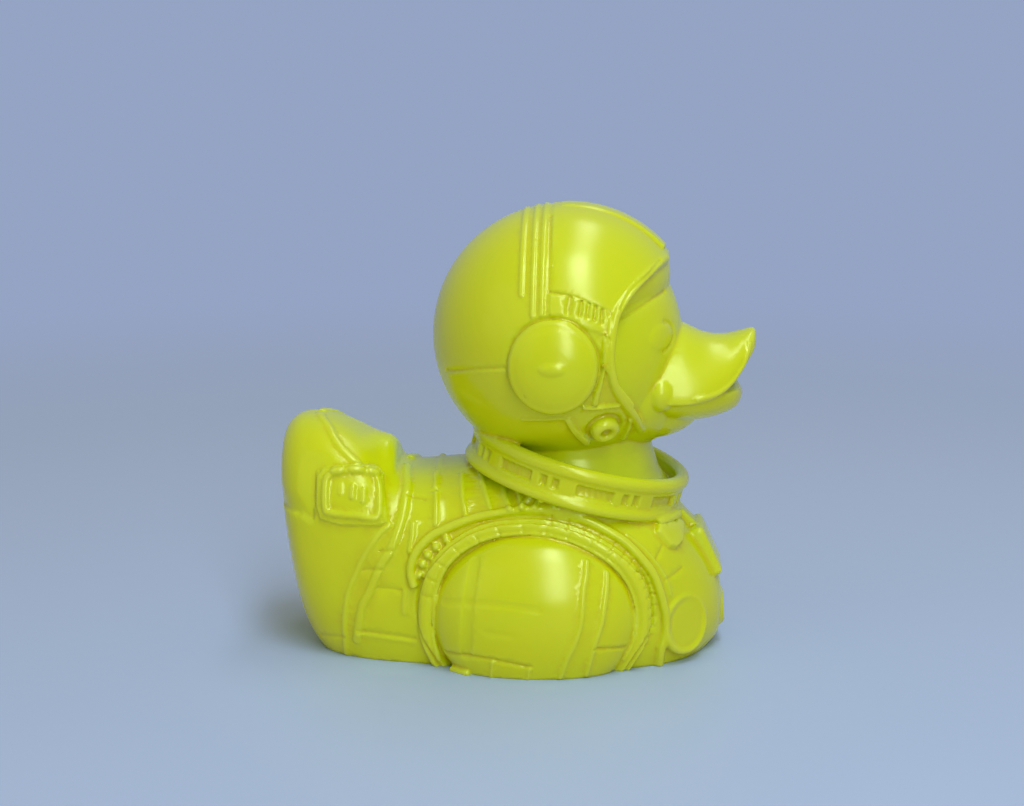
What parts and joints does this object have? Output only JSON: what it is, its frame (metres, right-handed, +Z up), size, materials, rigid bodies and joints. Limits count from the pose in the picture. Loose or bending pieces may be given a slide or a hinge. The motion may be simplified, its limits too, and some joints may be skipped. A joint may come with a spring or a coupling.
{
  "type": "rubber duck",
  "caption": "One-piece moulded duck figure in a flight helmet and pressure suit, with an upturned bill, a tilted neck ring and a flat base to stand on.",
  "frame": {"origin": "on the flat base, in the duck's middle plane, below the front of its back", "axes": "+X forward, the way the bill points; +Y to the duck's left; +Z up"},
  "size_m": [0.0957, 0.0616, 0.09],
  "materials": {
    "duck_plastic": "satin yellow plastic with a slight green cast"
  },
  "bodies": {
    "root": {"duck": "duck_plastic"}
  },
  "joints": []
}
